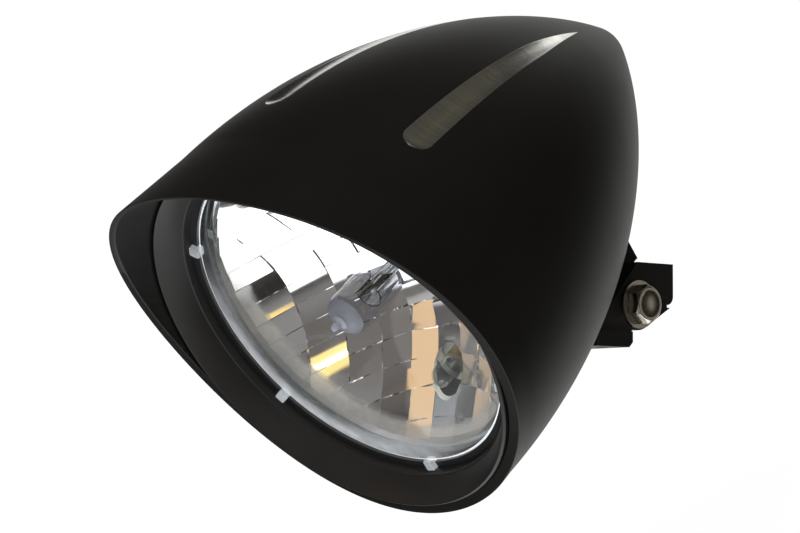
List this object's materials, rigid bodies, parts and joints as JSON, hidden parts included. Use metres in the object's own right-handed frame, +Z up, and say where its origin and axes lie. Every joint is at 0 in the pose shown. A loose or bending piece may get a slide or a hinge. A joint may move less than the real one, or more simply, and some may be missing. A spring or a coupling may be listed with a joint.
{
  "type": "round motorcycle headlight",
  "caption": "Round bullet-shaped black motorcycle headlight with a visor, a clear faceted lamp insert with H4 bulb and city light, and a tilting bottom bracket.",
  "frame": {"origin": "middle of the bracket's seat, halfway between its two tapped holes", "axes": "+X to the viewer's right facing the lens (pivot bolt's head side), -Y the way the lamp shines, +Z up"},
  "size_m": [0.163, 0.2194, 0.1708],
  "materials": {
    "black_coat": "satin",
    "bracket_black": "satin",
    "rubber": "matt",
    "lens_glass": "clear",
    "bulb_glass": "clear",
    "mirror_coat": "polished",
    "steel": "satin",
    "brass": "satin",
    "plastic": "matt",
    "sealant": "matt"
  },
  "bodies": {
    "stand": {"bracket": "bracket_black", "pivot_bolt": "steel", "pivot_washers": "steel", "pivot_nut": "steel", "friction_washers": "steel"},
    "lamp": {"housing": "black_coat", "trim_ring": "black_coat", "lens_seal": "rubber", "lens": "lens_glass", "lens_bond": "sealant", "reflector": "mirror_coat", "insert_gasket": "rubber", "ring_lock_screw": "steel", "bulb_glass": "bulb_glass", "bulb_shield": "steel", "bulb_filaments": "steel", "bulb_flange": "steel", "bulb_insulator": "plastic", "bulb_terminals": "steel", "bulb_clip": "steel", "rubber_boot": "rubber", "city_bulb": "bulb_glass", "city_base": "brass", "city_holder": "rubber", "wiring_grommet": "rubber", "lamp_lug": "black_coat", "lug_screws": "steel", "lug_washers": "steel", "pivot_bush": "brass"}
  },
  "joints": [
    {"name": "tilt", "type": "hinge", "parent": "stand", "child": "lamp", "pos_m": [0, 0.02128, 0.0039], "axis": [1, 0, 0], "range_deg": [-12, 8]}
  ]
}
